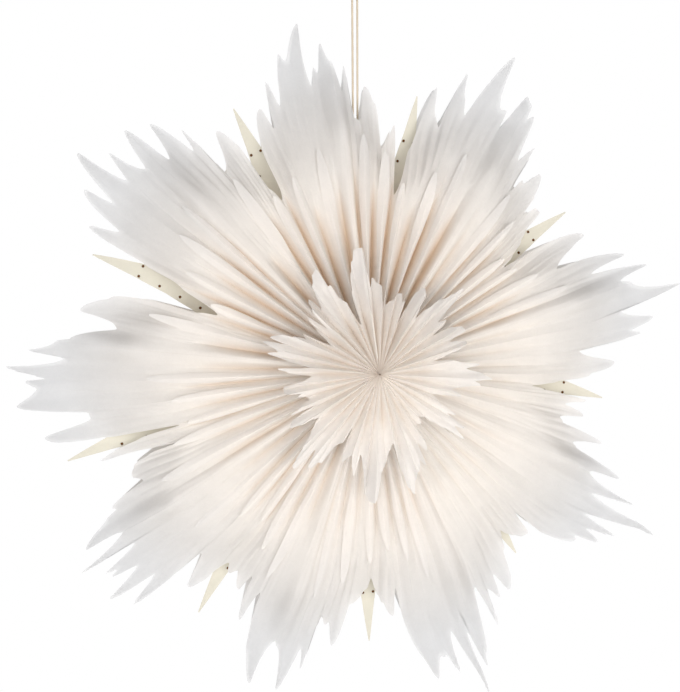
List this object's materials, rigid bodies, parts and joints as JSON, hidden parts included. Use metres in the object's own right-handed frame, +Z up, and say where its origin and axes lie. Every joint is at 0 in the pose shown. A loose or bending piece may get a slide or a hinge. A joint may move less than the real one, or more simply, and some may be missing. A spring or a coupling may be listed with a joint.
{
  "type": "hanging christmas star",
  "caption": "Fold-out hanging star of pleated white paper with jagged flame-like points, cream punched spikes between them, a small star at its centre, and a two-strand cord.",
  "frame": {"origin": "inside top of the cord's loop, where it hangs on a hook", "axes": "+Z up along the hanging cord, +Y from the star's front to its back along the axis that it folds about, +X to the right seen from the front"},
  "size_m": [0.6157, 0.1886, 0.647],
  "materials": {
    "white_paper": "matte, slightly translucent handmade paper",
    "cream_paper": "matte cream paper",
    "page_card": "matte white card",
    "core": "matte wound card tube",
    "thread": "waxed thread",
    "magnet": "satin nickel",
    "cord": "twisted natural cotton"
  },
  "bodies": {
    "hanger": {"hanging_cord": "cord"},
    "star": {"core_tube": "core", "binding_threads": "thread", "first_cover": "page_card", "first_magnets": "magnet", "front_sheet_1": "white_paper", "back_sheet_1": "white_paper", "front_leaf_1": "white_paper", "back_leaf_1": "white_paper", "cream_lining_1": "cream_paper"},
    "page_1": {"page_1": "page_card", "front_sheet_2": "white_paper", "back_sheet_2": "white_paper", "front_leaf_2": "white_paper", "back_leaf_2": "white_paper", "cream_lining_2": "cream_paper"},
    "page_2": {"page_2": "page_card", "front_sheet_3": "white_paper", "back_sheet_3": "white_paper", "front_leaf_3": "white_paper", "back_leaf_3": "white_paper", "cream_lining_3": "cream_paper"},
    "page_3": {"page_3": "page_card", "front_sheet_4": "white_paper", "back_sheet_4": "white_paper", "front_leaf_4": "white_paper", "back_leaf_4": "white_paper", "cream_lining_4": "cream_paper"},
    "page_4": {"page_4": "page_card", "front_sheet_5": "white_paper", "back_sheet_5": "white_paper", "front_leaf_5": "white_paper", "back_leaf_5": "white_paper", "cream_lining_5": "cream_paper"},
    "page_5": {"page_5": "page_card", "front_sheet_6": "white_paper", "back_sheet_6": "white_paper", "front_leaf_6": "white_paper", "back_leaf_6": "white_paper", "cream_lining_6": "cream_paper"},
    "page_6": {"page_6": "page_card", "front_sheet_7": "white_paper", "back_sheet_7": "white_paper", "front_leaf_7": "white_paper", "back_leaf_7": "white_paper", "cream_lining_7": "cream_paper"},
    "page_7": {"page_7": "page_card", "front_sheet_8": "white_paper", "back_sheet_8": "white_paper", "front_leaf_8": "white_paper", "back_leaf_8": "white_paper", "cream_lining_8": "cream_paper"},
    "page_8": {"page_8": "page_card", "front_sheet_9": "white_paper", "back_sheet_9": "white_paper", "front_leaf_9": "white_paper", "back_leaf_9": "white_paper", "cream_lining_9": "cream_paper"},
    "last_cover": {"last_cover": "page_card", "last_magnets": "magnet"}
  },
  "joints": [
    {"name": "turn", "type": "hinge", "parent": "hanger", "child": "star", "pos_m": [0, 0, 0], "axis": [0, 0, 1], "range_deg": [-180, 180], "deforming": ["hanging_cord"]},
    {"name": "fold_1", "type": "hinge", "parent": "star", "child": "page_1", "pos_m": [-0.00275, 0, -0.34], "axis": [0, 1, 0], "range_deg": [-36.25, 0], "deforming": ["front_sheet_1", "back_sheet_1", "front_leaf_1", "back_leaf_1", "cream_lining_1"]},
    {"name": "fold_2", "type": "hinge", "parent": "page_1", "child": "page_2", "pos_m": [-0.00275, 0, -0.34], "axis": [0, 1, 0], "range_deg": [-36.25, 0], "deforming": ["front_sheet_2", "back_sheet_2", "front_leaf_2", "back_leaf_2", "cream_lining_2"]},
    {"name": "fold_3", "type": "hinge", "parent": "page_2", "child": "page_3", "pos_m": [-0.00275, 0, -0.34], "axis": [0, 1, 0], "range_deg": [-36.25, 0], "deforming": ["front_sheet_3", "back_sheet_3", "front_leaf_3", "back_leaf_3", "cream_lining_3"]},
    {"name": "fold_4", "type": "hinge", "parent": "page_3", "child": "page_4", "pos_m": [-0.00275, 0, -0.34], "axis": [0, 1, 0], "range_deg": [-36.25, 0], "deforming": ["front_sheet_4", "back_sheet_4", "front_leaf_4", "back_leaf_4", "cream_lining_4"]},
    {"name": "fold_5", "type": "hinge", "parent": "page_4", "child": "page_5", "pos_m": [-0.00275, 0, -0.34], "axis": [0, 1, 0], "range_deg": [-36.25, 0], "deforming": ["front_sheet_5", "back_sheet_5", "front_leaf_5", "back_leaf_5", "cream_lining_5"]},
    {"name": "fold_6", "type": "hinge", "parent": "page_5", "child": "page_6", "pos_m": [-0.00275, 0, -0.34], "axis": [0, 1, 0], "range_deg": [-36.25, 0], "deforming": ["front_sheet_6", "back_sheet_6", "front_leaf_6", "back_leaf_6", "cream_lining_6"]},
    {"name": "fold_7", "type": "hinge", "parent": "page_6", "child": "page_7", "pos_m": [-0.00275, 0, -0.34], "axis": [0, 1, 0], "range_deg": [-36.25, 0], "deforming": ["front_sheet_7", "back_sheet_7", "front_leaf_7", "back_leaf_7", "cream_lining_7"]},
    {"name": "fold_8", "type": "hinge", "parent": "page_7", "child": "page_8", "pos_m": [-0.00275, 0, -0.34], "axis": [0, 1, 0], "range_deg": [-36.25, 0], "deforming": ["front_sheet_8", "back_sheet_8", "front_leaf_8", "back_leaf_8", "cream_lining_8"]},
    {"name": "fold_9", "type": "hinge", "parent": "page_8", "child": "last_cover", "pos_m": [-0.00275, 0, -0.34], "axis": [0, 1, 0], "range_deg": [-36.25, 0], "deforming": ["front_sheet_9", "back_sheet_9", "front_leaf_9", "back_leaf_9", "cream_lining_9"]}
  ],
  "couplings": [
    {"joint": "fold_2", "follows": "fold_1", "ratio": 1},
    {"joint": "fold_3", "follows": "fold_1", "ratio": 1},
    {"joint": "fold_4", "follows": "fold_1", "ratio": 1},
    {"joint": "fold_5", "follows": "fold_1", "ratio": 1},
    {"joint": "fold_6", "follows": "fold_1", "ratio": 1},
    {"joint": "fold_7", "follows": "fold_1", "ratio": 1},
    {"joint": "fold_8", "follows": "fold_1", "ratio": 1},
    {"joint": "fold_9", "follows": "fold_1", "ratio": 1}
  ]
}
